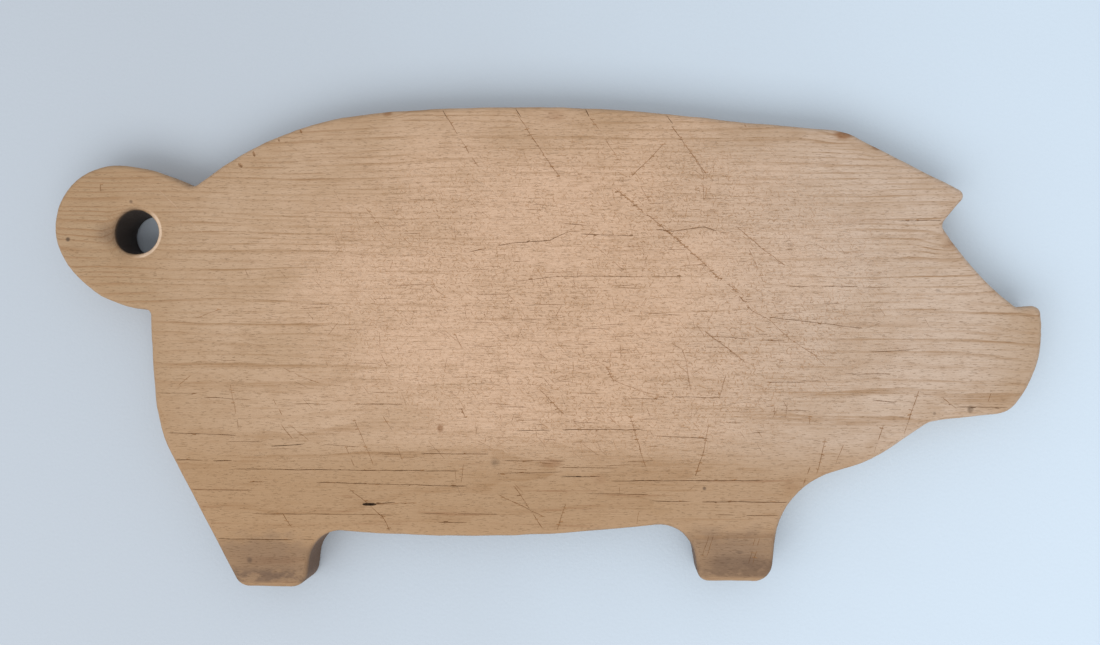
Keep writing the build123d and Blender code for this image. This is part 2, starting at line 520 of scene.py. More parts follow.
    def hatching(self) -> Socket:
        """Draw the fine cross-hatch that knives leave, and a painted highlight on the fibres that they
        raise.

        Returns:
            How deep the hatching is.
        """
        sheer = self.vector("ADD", self.place, (3.0, 11.0, 0.0))
        fine = self.scratches(self.place, 1.9, -54.0, 26.0, 0.24, 0.85, 0.10)
        back = self.scratches(sheer, 2.5, 60.0, 26.0, 0.24, 1.1, 0.20)
        level = self.scratches(sheer, 2.9, 0.0, 7.0, 0.20, 1.40, 0.05)
        bold = self.scratches(self.place, 9.0, -52.0, 50.0, 0.24, 3.2, 0.50)
        hatch = self.most(fine, back, level, bold)
        hatched = self.times(self.step(self.worn, 0.0, 0.9), self.step(self.broad, 0.30, 0.56, 0.45, 1.0))
        hatch = self.times(hatch, hatched, self.step(self.nap, 0.30, 0.55, 0.4, 1.0))
        self.paint(self.times(hatch, 0.62), Shade.TORN)
        torn = self.times(self.step(self.nap, 0.57, 0.74), self.step(self.worn, 0.0, 0.8, 0.25, 1.0))
        self.paint(self.times(torn, self.upper, 0.26), Shade.TORN)
        # painted highlight: where the nap stands highest, the fibres are painted paler
        raised_highlight = self.times(self.step(self.nap, 0.42, 0.26), self.step(self.worn, 0.2, 0.9, 0.1, 1.0))
        self.paint(self.times(raised_highlight, self.upper, 0.40), Shade.FRESH_AND_HIGHLIGHT)
        return hatch

    def soiling(self) -> None:
        """Paint the stains and knots, and the dust and the black on the feet."""
        through = self.step(self.z, 9.0, 17.0)
        ragged = self.step(self.mottle, 0.30, 0.62, 0.55, 1.0)
        for spot in SPOTS:
            oval = self.spot(spot.middle, spot.size, spot.soft)
            self.paint(self.times(oval, ragged, through, spot.strength), spot.shade)
        sole = self.add(self.y, self.step(self.x, 0.0, 40.0, 0.0, -6.0))
        high = self.add(sole, self.drift(self.broad, 16.0), self.drift(self.mottle, 16.0))
        dusty = self.times(self.step(high, -87.0, -97.0), self.step(sole, -112.5, -109.0, 0.35, 1.0))
        self.paint(self.times(dusty, 0.44), Shade.SOOT_AND_SHADE)
        black = self.times(self.step(high, -102.0, -107.0), self.step(sole, -112.4, -110.2))
        self.paint(self.times(black, self.step(self.mottle, 0.40, 0.54, 0.15, 0.90)), Shade.SOOT_AND_SHADE)

    def handling_and_shade(self) -> None:
        """Darken the edge with patina, paint shade on the walls and in the hanging hole, and paint a pale
        highlight on the hole's rim, which is partly rubbed pale.
        """
        near = self.step(self.rim, 13.0, 2.0, 0.0, 0.30)
        self.paint(self.times(near, self.step(self.broad, 0.3, 0.6)), Shade.PATINA)
        # painted shade: the walls below the upper arris are darkened towards latewood
        self.paint(self.times(self.step(self.z, 20.6, 17.5), 0.45), Shade.LATEWOOD_AND_WALL_SHADE)
        # painted shade: the walls low on the board, at the legs and the belly, are darkened towards
        # soot-black
        leg_wall_shade = self.times(self.step(self.y, -72.0, -86.0), self.step(self.rim, 3.0, 0.5))
        self.paint(self.times(leg_wall_shade, self.step(self.z, 21.4, 18.5), 0.75), Shade.SOOT_AND_SHADE)
        hole_x, hole_y = self.pine.hole
        inside = self.oval(self.pine.hole, (1.0, 1.0))
        # painted shade: inside the hanging hole the walls are painted nearly black, with their grime
        painted_hole_shade = self.times(self.step(inside, 14.0, 11.4), self.step(self.z, 21.6, 18.2))
        self.paint(self.times(painted_hole_shade, 0.95), Shade.HOLE_SHADE)
        # painted highlight: a pale ring on the hole's right rim, partly rubbed wood
        lean = self.add(self.x, self.times(self.y, -0.35), 0.35 * hole_y - hole_x)
        rim_highlight = self.times(self.step(inside, 12.9, 12.1), self.step(self.z, 20.3, 21.4))
        self.paint(self.times(rim_highlight, self.step(lean, 1.0, 9.0), 0.75), Shade.FRESH_AND_HIGHLIGHT)
        smudge = self.spot((hole_x - 13.5, hole_y - 0.5), (7.0, 5.5), 1.0)
        self.paint(self.times(smudge, self.upper, 0.46), Shade.SOOT_AND_SHADE)

    def grooves(self) -> Socket:
        """Paint grime where tone is over 0, and torn pale fibres where it is under.

        Returns:
            How grimy a groove is.
        """
        ragged = self.step(self.mottle, 0.28, 0.62, 0.45, 1.0)
        grimy = self.times(self.step(self.tone, 0.0, 0.8), ragged)
        self.paint(grimy, Shade.CUT)
        self.paint(self.times(self.step(self.tone, 0.55, 1.0), ragged), Shade.GRIME)
        self.paint(self.step(self.tone, 0.0, -1.0), Shade.FRESH_AND_HIGHLIGHT)
        return grimy

    def finish(self) -> bpy.types.Material:
        """Paint the whole finish and return it as a material."""
        tail, belly = self.body()
        ring = self.grain(tail, belly)
        hatch = self.hatching()
        self.soiling()
        self.handling_and_shade()
        grimy = self.grooves()
        rough = self.add(
            self.pine.roughness,
            self.times(self.worn, 0.10),
            self.drift(self.mottle, 0.20),
            self.times(ring, -0.06),
            self.times(hatch, 0.12),
            self.times(grimy, 0.20),
        )
        self.dress(Base_Color=self.colour, Roughness=rough)
        self.dress(IOR=self.pine.refraction, Specular_IOR_Level=self.pine.gloss)
        height = self.add(
            self.times(ring, 0.060),
            self.times(self.fibres, -0.190),
            self.times(self.streaks, -0.100),
            self.times(self.dashes, -0.120),
            self.times(hatch, -0.190),
            self.times(self.mottle, 0.120),
            self.times(self.nap, self.step(self.worn, 0.0, 1.0, -0.08, -0.30)),
        )
        self.relief(height, self.pine.relief, MM)
        return self.material


@dataclass(frozen=True)
class PaleFloor:
    """Matt pale floor with a faint weave, its light painted in: lighter and bluer towards the snout's
    end, darker towards the tail's end.
    """

    name: str = "pale_floor"
    colour: Colour = (0.620, 0.735, 0.845)
    shaded: Colour = (0.490, 0.545, 0.605)
    fade: Point = (-0.22, 0.32)

    def build(self) -> bpy.types.Material:
        """Return the finish as a material."""
        bench = Bench(self.name)
        here = bench.node("TexCoord", {}).outputs["Object"]
        soft = bench.noise(bench.stretched(here, (0.10, 0.13, 0.10)), 3.0)
        weave = bench.noise(bench.stretched(here, (1.6 * MM, 1.6 * MM, 1.6 * MM)), 2.0)
        x, _, _ = bench.split(here)
        # painted light: the floor is lighter and bluer towards the snout's end and darker towards the
        # tail's end
        far = bench.step(bench.add(x, bench.drift(soft, 0.10)), *self.fade)
        cloud = bench.colours(far, self.shaded, self.colour)
        bench.dress(Base_Color=cloud, Roughness=0.95, Specular_IOR_Level=0.1)
        bench.relief(weave, 0.25, 0.4 * MM)
        return bench.material


# --------------------------------------------------------------------------- marks


@dataclass(frozen=True)
class Groove:
    """A kind of mark, in millimetres.

    The tone says how dark it is: under 0 it is pale. A mark is cut in bites, a share of
    them is skipped, and each one tears a number of chips along the grain.
    """

    width: float
    depth: float
    tone: float
    bite: float = 7.5
    skip: float = 0.10
    chips: float = 0.0


class Mark(Enum):
    """The kinds of mark in the wood."""

    KNIFE = Groove(0.42, 0.32, 0.52, 3.4, 0.10, 0.7)
    LIGHT_KNIFE = Groove(0.36, 0.24, 0.42, 3.2, 0.26, 0.5)
    HEAVY_KNIFE = Groove(0.44, 0.30, 0.54, 2.6, 0.18, 2.0)
    SCRATCH = Groove(0.34, 0.14, -0.40, 6.0, 0.22)
    CHECK = Groove(0.40, 0.62, 0.62, 7.5, 0.12, 0.4)
    FINE_CHECK = Groove(0.33, 0.45, 0.58, 7.5, 0.14, 0.3)
    DARK_CHECK = Groove(0.46, 0.80, 0.72, 7.5, 0.00, 0.6)
    SPLIT = Groove(1.35, 1.60, 1.00, 20.0, 0.00)
    EDGE_CUT = Groove(0.55, 1.40, 0.34, 20.0, 0.00)
    NICK = Groove(1.70, 0.90, 0.50, 20.0, 0.00)
    CHIP = Groove(1.60, 0.30, -0.22, 20.0, 0.00)


Run = Tuple[Point, ...]

MARKS: Dict[Mark, Tuple[Run, ...]] = {
    Mark.CHECK: (
        ((-174, -41), (-142, -42)), ((-172, -54), (-144, -54)), ((-141, -58), (-35, -58)),
        ((-101, -64), (-31, -65)), ((-150, -91), (-100, -91)), ((-6, -39), (51, -38)),
        ((38, -62), (106, -61)), ((57, -71), (118, -71)), ((-29, 45), (-9, 49), (8, 50), (17, 54)),
        ((24, 53), (47, 52)), ((58, 55), (66, 54), (80, 56), (86, 54)), ((169, 58), (189, 58)),
    ),
    Mark.DARK_CHECK: (
        ((-123, -47), (-109, -46)), ((195, -27), (217, -27)), ((-77, -74), (-65, -73)),
        ((15, -60), (31, -60)),
    ),
    Mark.FINE_CHECK: (
        ((-181, -22), (-160, -22)), ((-156, -24), (-135, -25)), ((-144, -45), (-129, -45)),
        ((-98, -46), (-83, -47)), ((-134, -64), (-127, -64)), ((-164, -68), (-134, -68)),
        ((-132, -79), (-66, -79)), ((-112, -27), (-62, -27)), ((-16, -28), (-3, -28)),
        ((-51, -50), (-21, -50)), ((-12, -53), (15, -53)), ((-15, -59), (14, -58)),
        ((14, -56), (39, -56)), ((28, -68), (53, -68)), ((86, -77), (114, -77)),
        ((-50, -78), (-17, -78)), ((-43, -82), (-31, -82)), ((43, -24), (60, -24)),
        ((67, -23), (88, -23)), ((58, -41), (81, -42)), ((157, -2), (174, -1)),
        ((145, -12), (164, -12)), ((109, -16), (125, -16)), ((156, -24), (167, -25)),
        ((120, 28), (149, 28)), ((110, 14), (151, 9)), ((84, 5), (116, 3)), ((15, 58), (26, 57)),
        ((-6, 31), (10, 33), (46, 33)), ((57, 33), (69, 33)), ((53, 16), (69, 15)),
        ((39, 78), (46, 78)),
    ),
    Mark.SPLIT: (((-80, -74), (-73, -74)),),
    Mark.EDGE_CUT: (
        ((-44, 115), (-40, 108)), ((-10, 116), (-5, 108)), ((61, 111), (66, 104)),
        ((23, 116), (27, 108)),
    ),
    Mark.KNIFE: (
        ((-43, 113), (-26, 86)), ((-9, 113), (2, 96), (8, 87), (13, 80)), ((62, 108), (81, 81)),
        ((47, 80), (62, 95)), ((81, 7), (93, -2), (99, -7)), ((95, 56), (109, 44), (117, 38)),
        ((48, -39), (53, -55)), ((4, -20), (15, -31)), ((-15, -69), (6, -79)),
        ((-8, -65), (-3, -72), (5, -84)), ((16, -73), (12, -85)), ((-76, -74), (-55, -73)),
        ((-86, -67), (-78, -73), (-70, -80), (-67, -86)), ((-118, -79), (-114, -85)),
        ((80, -47), (76, -59)), ((177, -20), (169, -43)), ((161, -36), (157, -48)),
        ((135, -42), (131, -58)), ((128, -55), (125, -63)), ((188, -23), (199, -32)),
    ),
    Mark.HEAVY_KNIFE: (
        ((39, 74), (50, 65), (60, 57)), ((60, 57), (68, 50), (78, 41)), ((78, 41), (86, 33), (93, 28)),
        ((93, 28), (102, 17)), ((35, -9), (38, -15)), ((46, -32), (48, -39)), ((-33, -29), (-31, -33)),
    ),
    Mark.LIGHT_KNIFE: (
        ((24, 113), (42, 86)), ((102, 17), (111, 12), (119, 4), (130, -3), (135, -8)),
        ((101, 45), (107, 31)), ((51, 75), (55, 68)), ((29, 48), (43, 36)),
        ((74, 91), (80, 81), (80, 69)), ((38, -15), (50, -20), (61, -23)),
        ((70, -1), (72, -7), (74, -20)), ((82, -36), (80, -47)), ((90, -13), (87, -23)),
        ((33, -29), (39, -35)), ((50, -76), (49, -82)), ((-84, -34), (-75, -55)),
        ((-70, -33), (-66, -39)), ((-88, -47), (-84, -56)), ((-63, -48), (-61, -53)),
        ((-32, -55), (-33, -63)), ((-118, -10), (-110, -14), (-101, -17)), ((-119, -37), (-114, -43)),
        ((-115, -37), (-106, -44)), ((-123, -25), (-119, -32)), ((-144, -18), (-140, -38)),
        ((-79, 66), (-70, 55)), ((-169, -18), (-164, -14)), ((-161, 14), (-149, 18)),
        ((-36, 6), (-33, 0)), ((-25, -44), (-19, -47)), ((24, -45), (31, -50)),
        ((143, -45), (139, -55)), ((209, -21), (206, -31)), ((82, -87), (79, -96)),
        ((84, -87), (81, -96)), ((103, -88), (100, -99)), ((105, -88), (102, -99)),
        ((-209, 79), (-209, 75)), ((108, -27), (112, -27), (112, -31)),
        ((124, -32), (128, -32), (128, -35)),
    ),
    Mark.SCRATCH: (
        ((105, 98), (121, 75), (136, 63)), ((136, 63), (146, 49), (156, 41), (171, 26)),
        ((107, 98), (123, 75)), ((121, 74), (131, 57)), ((136, 50), (146, 36)),
        ((-127, 61), (-108, 51), (-102, 44)), ((-184, 79), (-150, 47)), ((164, 46), (174, 53)),
        ((-48, -65), (-48, -69)),
    ),
    Mark.CHIP: (
        ((-27, 80), (-16, 72)), ((57, -74), (64, -74)), ((199, 37), (205, 34)),
    ),
    Mark.NICK: (
        ((-141, 88), (-139, 86)), ((-134, 94), (-133, 91)), ((-129, 99), (-128, 97)),
        ((-122, 101), (-121, 98)), ((-112, 105), (-110, 102)), ((98, 105), (100, 102)),
        ((120, 104), (122, 101)), ((126, 103), (128, 101)),
    ),
}


@dataclass
class Placed:
    """One groove as it lies on the board, seen from above."""

    start: Vector
    end: Vector
    half_width: float
    mesh: bpy.types.Mesh

    def touches(self, other: "Placed") -> bool:
        """Say whether this groove and another one meet."""
        gap = self.half_width + other.half_width
        reach = (self.end - self.start).length + (other.end - other.start).length
        if (self.start + self.end - other.start - other.end).length > reach + 2.0 * gap:
            return False
        if intersect_line_line_2d(self.start, self.end, other.start, other.end):
            return True
        for one, two in ((self, other), (other, self)):
            for tip in (one.start, one.end):
                share = intersect_point_line(tip, two.start, two.end)[1]
                nearest = two.start.lerp(two.end, max(0.0, min(1.0, share)))
                if (tip - nearest).length < gap:
                    return True
        return False


@dataclass
class Cutter:
    """Makes the grooves: one wedge is modelled and copied to each place, in millimetres.

    Grooves that meet go into different passes, as one pass must not overlap itself.
    """

    upper_face: float
    seed: int = 11
    headroom: float = 3.0
    sway: float = 0.22
    overrun: float = 1.06
    short_cuts: int = 250
    short_checks: int = 130
    stations: Tuple[float, ...] = (0.22, 0.40)
    rises: Tuple[float, ...] = (0.08, 0.50, 1.22)
    wedge: Optional[bpy.types.Object] = None
    passes: List[List[Placed]] = field(default_factory=list)

    def model_wedge(self) -> None:
        """Model a wedge of unit length, width and depth, whose edge rises at both ends."""
        leave_nothing_selected()
        bpy.ops.mesh.primitive_cube_add(size=1.0)
        self.wedge = bpy.context.object
        self.wedge.name = "wedge"
        with editing(self.wedge):
            for station in self.stations:
                slice_at((station, 0.0, 0.0), (1.0, 0.0, 0.0))
                slice_at((-station, 0.0, 0.0), (1.0, 0.0, 0.0))
            pick(self.wedge, lambda place: place.z < 0.0)
            bpy.ops.transform.resize(value=(1.0, 0.0, 1.0))
            bpy.ops.transform.translate(value=(0.0, 0.0, -0.5))
            bpy.ops.mesh.select_all(action="SELECT")
            bpy.ops.mesh.remove_doubles(threshold=1e-4)
            pick(self.wedge, lambda place: place.z > 0.0)
            bpy.ops.transform.resize(value=(1.0, 1.0 + self.headroom, 1.0))
            bpy.ops.transform.translate(value=(0.0, 0.0, self.headroom - 0.5))
            for reach, rise in zip((*self.stations, 0.5), self.rises):
                pick(self.wedge, lambda place, r=reach: place.z < 0.0 and abs(abs(place.x) - r) < 0.01)
                bpy.ops.transform.translate(value=(0.0, 0.0, rise))
            bpy.ops.mesh.select_all(action="SELECT")
            bpy.ops.mesh.normals_make_consistent(inside=False)

    def groove(self, start: Point, end: Point, section: Groove) -> None:
        """Put a copy of the wedge where one groove goes.

        Args:
            start: Where the groove starts, in millimetres.
            end: Where it ends.
            section: Its width, depth and tone.
        """
        run = Vector((end[0] - start[0], end[1] - start[1], 0.0))
        middle = Vector(((start[0] + end[0]) / 2, (start[1] + end[1]) / 2, self.upper_face))
        size = Matrix.Diagonal((run.length * self.overrun, section.width, section.depth, 1.0))
        turn = Matrix.Rotation(math.atan2(run.y, run.x), 4, "Z")
        mesh = self.wedge.data.copy()
        mesh.transform(Matrix.Scale(MM, 4) @ Matrix.Translation(middle) @ turn @ size)
        shade = mesh.attributes.new("tone", "FLOAT", "FACE")
        shade.data.foreach_set("value", [section.tone] * len(mesh.polygons))
        half = run.to_2d() * self.overrun / 2
        centre = middle.to_2d()
        placed = Placed(centre - half, centre + half, section.width * 0.55 + 0.03, mesh)
        for one_pass in self.passes:
            if not any(placed.touches(other) for other in one_pass):
                one_pass.append(placed)
                return
        self.passes.append([placed])

    def stroke(self, middle: Sequence[float], half: Sequence[float], section: Groove) -> None:
        """Put one groove about its middle, half of it to each side."""
        start = (middle[0] - half[0], middle[1] - half[1])
        end = (middle[0] + half[0], middle[1] + half[1])
        self.groove(start, end, section)

    def cut(self, start: Point, end: Point, section: Groove, draw: random.Random) -> None:
        """Cut one straight run as a knife does, in short bites that wander and skip.

        Args:
            start: Where the run starts, in millimetres.
            end: Where it ends.
            section: The groove's section and tone.
            draw: Where the unevenness is drawn from.
        """
        run = Vector((end[0] - start[0], end[1] - start[1]))
        across = Vector((-run.y, run.x)).normalized()
        bites = max(1, round(run.length / section.bite))
        knots = []
        for number in range(bites + 1):
            sway = draw.uniform(-self.sway, self.sway) if 0 < number < bites else 0.0
            knots.append(Vector(start) + run * (number / bites) + across * sway)
        for number, (here, there) in enumerate(zip(knots, knots[1:])):
            weight = draw.uniform(0.62, 1.10)
            tone = section.tone * draw.uniform(0.55, 1.15)
            if bites > 2 and 0 < number < bites - 1 and draw.random() < section.skip:
                continue
            spare = (there - here) * 0.16 * min(1, bites - 1)
            self.groove(
                tuple(here - spare),
                tuple(there + spare),
                Groove(section.width * weight, section.depth * weight, tone),
            )
            for _ in range(int(section.chips + draw.random())):
                self.chip(here.lerp(there, draw.random()), section, draw)

    def chip(self, place: Vector, section: Groove, draw: random.Random) -> None:
        """Tear one chip along the grain beside a cut."""
        half = Vector((draw.uniform(0.5, 1.5), draw.uniform(-0.35, 0.35)))
        middle = place + Vector((draw.uniform(-0.6, 0.6), draw.uniform(-0.4, 0.4)))
        width = draw.uniform(0.35, 0.70)
        depth = draw.uniform(0.14, 0.30)
        tone = section.tone * draw.uniform(0.7, 1.3)
        self.groove(tuple(middle - half), tuple(middle + half), Groove(width, depth, tone))

    def listed(self) -> None:
        """Cut every mark of the list."""
        draw = random.Random(self.seed + 1)
        for kind, runs in MARKS.items():
            for run in runs:
                for start, end in zip(run, run[1:]):
                    self.cut(start, end, kind.value, draw)

    def scattered(self) -> None:
        """Place the short cuts and checks that are too many to list, from one fixed seed."""
        draw = random.Random(self.seed)
        leans = ((-52.0, 14.0, 0.44), (62.0, 16.0, 0.24), (-82.0, 12.0, 0.18), (20.0, 60.0, 0.14))
        for _ in range(self.short_cuts):
            x = draw.gauss(20.0, 78.0)
            y = draw.gauss(8.0, 38.0)
            lean = math.radians(self.drawn_lean(draw, leans))
            half = draw.uniform(1.0, 4.0) + 4.0 * max(0.0, draw.random() - 0.8)
            weight = draw.uniform(0.50, 0.95)
            tone = draw.choice((0.20, 0.28, 0.40, -0.30))
            if ((x - 12.0) / 180.0) ** 2 + ((y - 10.0) / 82.0) ** 2 > 1.0:
                continue
            reach = (half * math.cos(lean), half * math.sin(lean))
            self.stroke((x, y), reach, Groove(0.30 * weight, 0.22 * weight, tone))
        for _ in range(self.short_checks):
            x = draw.gauss(10.0, 85.0)
            y = draw.gauss(5.0, 45.0)
            half = draw.uniform(1.5, 7.0)
            slope = draw.uniform(-0.06, 0.06)
            tone = draw.choice((0.25, 0.36, 0.50))
            if ((x - 12.0) / 185.0) ** 2 + ((y - 5.0) / 84.0) ** 2 > 1.0:
                continue
            self.stroke((x, y), (half, half * slope), Groove(0.24, 0.26, tone))

    @staticmethod
    def drawn_lean(draw: random.Random, leans: Sequence[Tuple[float, float, float]]) -> float:
        """Return an angle in degrees, drawn from leans of (angle, spread, share)."""
        roll = draw.random()
        for angle, spread, share in leans:
            if roll < share:
                return draw.gauss(angle, spread)
            roll -= share
        return draw.uniform(-90.0, 90.0)

    def joined(self, one_pass: Sequence[Placed]) -> bpy.types.Object:
        """Return the wedges of one pass as one object."""
        pieces = []
        for number, placed in enumerate(one_pass):
            piece = bpy.data.objects.new(f"groove_{number}", placed.mesh)
            bpy.context.scene.collection.objects.link(piece)
            pieces.append(piece)
        leave_nothing_selected()
        for piece in pieces:
            piece.select_set(True)
        bpy.context.view_layer.objects.active = pieces[0]
        bpy.ops.object.join()
        return pieces[0]


# --------------------------------------------------------------------------- the board


@dataclass
class Outline:
    """The board's outline and its hole, halfway up, as loops with their running length."""

    loops: List[np.ndarray] = field(default_factory=list)
    lengths: List[np.ndarray] = field(default_factory=list)

    @classmethod
    def read(cls, mesh: bpy.types.Mesh, level: float) -> "Outline":
        """Read the loops from the edges that lie at a level.

        Args:
            mesh: The divided blank.
            level: The height of the loops, in millimetres.

        Returns:
            The outline, with its longest loop first.
        """
        at = places(mesh)
        on = np.abs(at[:, 2] - level) < 0.01
        links: Dict[int, List[int]] = {}
        for edge in mesh.edges:
            a, b = edge.vertices
            if on[a] and on[b]:
                links.setdefault(a, []).append(b)
                links.setdefault(b, []).append(a)
        found = cls()
        left = set(links)
        while left:
            first = min(left)
            loop = [first]
            left.discard(first)
            while True:
                onward = [n for n in links[loop[-1]] if n in left]
                if not onward:
                    break
                loop.append(onward[0])
                left.discard(onward[0])
            ring = at[loop][:, :2]
            found.loops.append(ring)
        found.loops.sort(key=len, reverse=True)
        for ring in found.loops:
            steps = np.linalg.norm(np.roll(ring, -1, axis=0) - ring, axis=1)
            found.lengths.append(np.concatenate(([0.0], np.cumsum(steps))))
        return found

    def tree(self) -> Tuple[KDTree, List[Tuple[int, int]]]:
        """Return a tree of the loops' points, and each point's loop and number."""
        names = [(k, n) for k, ring in enumerate(self.loops) for n in range(len(ring))]
        tree = KDTree(len(names))
        for number, (k, n) in enumerate(names):
            tree.insert((*self.loops[k][n], 0.0), number)
        tree.balance()
        return tree, names


@dataclass
class PineBoard:
    """The plank: sawn to a pig's outline, rounded by wear, hollowed and cut on top."""

    name: str = "pine_board"
    node: str = "board"
    body: str = "root"
    slot: str = "worn_pine"
    grid: float = 4.0
    grid_offset: float = 0.137
    weight_steps: int = 20
    arris_wear: float = 0.7
    lip_wear: float = 2.3
    wall_unevenness: float = 0.5
    face_unevenness: float = 0.35
    hollow_depth: float = 0.45
    hollow_middle: Point = (10.0, 8.0)
    hollow_size: Point = (185.0, 86.0)
    map_scale: float = 0.0018
    map_margin: float = 0.008
    map_rows: int = 3
    wall_slope: float = 0.45
    sharp_angle: float = 28.0
    low: Optional[Vector] = None
    high: Optional[Vector] = None
    piece: Optional[bpy.types.Object] = None
    outline: Optional[Outline] = None

    def start(self) -> None:
        """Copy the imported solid, merge it and clear its flat faces of triangles."""
        low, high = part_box(self.node)
        self.low = Vector(low) / MM
        self.high = Vector(high) / MM
        mesh = frame["nodes"][self.node].data.copy()
        mesh.name = self.name
        mesh.materials.clear()
        self.piece = bpy.data.objects.new(self.name, mesh)
        bpy.context.scene.collection.objects.link(self.piece)
        with editing(self.piece):
            bpy.ops.mesh.remove_doubles(threshold=MERGE)
            bpy.ops.mesh.customdata_custom_splitnormals_clear()
            bpy.ops.mesh.select_all(action="SELECT")
            bpy.ops.mesh.dissolve_limited(angle_limit=math.radians(0.2))
        log.info("blank: %d faces", len(self.piece.data.polygons))

    def divide(self) -> None:
        """Divide the blank by a grid of cuts, and read its outline halfway up."""
        middle = (self.low.z + self.high.z) / 2
        with editing(self.piece):
            slice_at((0.0, 0.0, middle * MM), (0.0, 0.0, 1.0))
            for axis in (0, 1):
                normal = [0.0, 0.0, 0.0]
                normal[axis] = 1.0
                place = math.ceil(self.low[axis] / self.grid) * self.grid
                while place < self.high[axis]:
                    point = [0.0, 0.0, 0.0]
                    point[axis] = (place + self.grid_offset) * MM
                    slice_at(point, normal)
                    place += self.grid
        self.outline = Outline.read(self.piece.data, middle)
        log.info("divided: %d faces, %d loops", len(self.piece.data.polygons), len(self.outline.loops))

    def weigh(self, name: str, weights: np.ndarray) -> bpy.types.VertexGroup:
        """Give the vertices a weight each, in a group of that name."""
        group = self.piece.vertex_groups.new(name=name)
        for level in range(1, self.weight_steps + 1):
            share = level / self.weight_steps
            chosen = np.nonzero(np.abs(weights - share) <= 0.5 / self.weight_steps)[0]
            if len(chosen):
                group.add([int(n) for n in chosen], share, "REPLACE")
        return group

    def hole_middle(self) -> Point:
        """Return the middle of the hanging hole, seen from above."""
        middle = self.outline.loops[1].mean(axis=0)
        return float(middle[0]), float(middle[1])

    def rim_distance(self, at: np.ndarray) -> np.ndarray:
        """Return how far each place is from the outline or the hole, seen from above."""
        tree, _ = self.outline.tree()
        return np.array([tree.find((x, y, 0.0))[2] for x, y in at[:, :2]])

    def displace(self, group: bpy.types.VertexGroup, depth: float, direction: str,
                 grain: Optional[float] = None, level: float = 0.5) -> None:
        """Move the vertices of a group in or out.

        Args:
            group: The vertices and their weights.
            depth: How far they move at most, in millimetres.
            direction: NORMAL or Z.
            grain: The size of the unevenness in millimetres, or None to move them evenly.
            level: The texture's value that leaves a vertex where it is.
        """
        modifier = self.piece.modifiers.new(group.name, "DISPLACE")
        modifier.vertex_group = group.name
        modifier.strength = depth * MM
        modifier.direction = direction
        modifier.mid_level = level
        if grain is None:
            modifier.mid_level = 0.0
        else:
            texture = bpy.data.textures.new(group.name, "CLOUDS")
            texture.noise_scale = grain * MM
            texture.noise_depth = 2
            modifier.texture = texture
            modifier.texture_coords = "LOCAL"
        apply(self.piece, modifier)
        self.piece.vertex_groups.clear()

    def wear_edges(self) -> None:
        """Wear the upper arrises, the hole's lip and the walls."""
        at = places(self.piece.data)
        rim = self.rim_distance(at)
        arris = ease(at[:, 2], 17.0, 20.5) * ease(rim, 5.0, 2.0)
        self.displace(self.weigh("arris", arris), -self.arris_wear, "NORMAL", 12.0, 0.3)
        at = places(self.piece.data)
        hole = self.hole_middle()
        lean = (hole[0] + 3.0 - at[:, 0]) * 0.9 + (at[:, 1] - hole[1]) * 0.25
        lip = ease(np.hypot(at[:, 0] - hole[0], at[:, 1] - hole[1]), 15.0, 12.0)
        lip *= ease(lean, -3.0, 14.0) * ease(at[:, 2], 10.0, 20.0)
        self.displace(self.weigh("lip", lip), -self.lip_wear, "NORMAL")
        at = places(self.piece.data)
        rim = self.rim_distance(at)
        wall = ease(rim, 3.0, 0.6) * ease(at[:, 2], 0.5, 4.0) * ease(at[:, 2], 21.5, 18.0)
        self.displace(self.weigh("wall", wall), self.wall_unevenness, "NORMAL", 9.0)

    def triangulate(self, smallest: float) -> None:
        """Divide every face into triangles, and dissolve those under a size in millimetres."""
        with editing(self.piece):
            bpy.ops.mesh.quads_convert_to_tris(quad_method="BEAUTY", ngon_method="BEAUTY")
            bpy.ops.mesh.dissolve_degenerate(threshold=smallest * MM)
            bpy.ops.mesh.delete_loose(use_verts=True, use_edges=True, use_faces=False)

    def cut_marks(self) -> None:
        """Cut the knife marks and the checks into the upper face."""
        self.triangulate(0.001)
        tone = self.piece.data.attributes.new("tone", "FLOAT", "FACE")
        tone.data.foreach_set("value", [0.0] * len(self.piece.data.polygons))
        cutter = Cutter(self.high.z)
        cutter.model_wedge()
        cutter.listed()
        cutter.scattered()
        for one_pass in cutter.passes:
            tool = cutter.joined(one_pass)
            modifier = self.piece.modifiers.new("marks", "BOOLEAN")
            modifier.operation = "DIFFERENCE"
            modifier.object = tool
            modifier.solver = "MANIFOLD"
            apply(self.piece, modifier)
            bpy.data.objects.remove(tool)
        bpy.data.objects.remove(cutter.wedge)
        self.triangulate(0.010)
        sizes = [len(one_pass) for one_pass in cutter.passes]
        log.info("marked: %d grooves in passes of %s", sum(sizes), sizes)
        log.info("marked: %d faces", len(self.piece.data.polygons))

    def hollow(self) -> None:
        """Hollow the middle of the upper face and make it slightly uneven."""
        at = places(self.piece.data)
        top = ease(at[:, 2], 17.0, 20.0)
        along = (at[:, 0] - self.hollow_middle[0]) / self.hollow_size[0]
        across = (at[:, 1] - self.hollow_middle[1]) / self.hollow_size[1]
        dish = ease(np.hypot(along, across), 1.05, 0.15) * top
        self.displace(self.weigh("hollow", dish), -self.hollow_depth, "Z")
        inner = ease(self.rim_distance(at), 1.0, 8.0)
        self.displace(self.weigh("uneven", top * inner), self.face_unevenness, "Z", 24.0)

    def carry(self) -> None:
        """Give the mesh the number that its finish reads: the distance to the rim."""
        mesh = self.piece.data
        rim = mesh.attributes.new("rim", "FLOAT", "POINT")
        rim.data.foreach_set("value", self.rim_distance(places(mesh)).astype(np.float32))

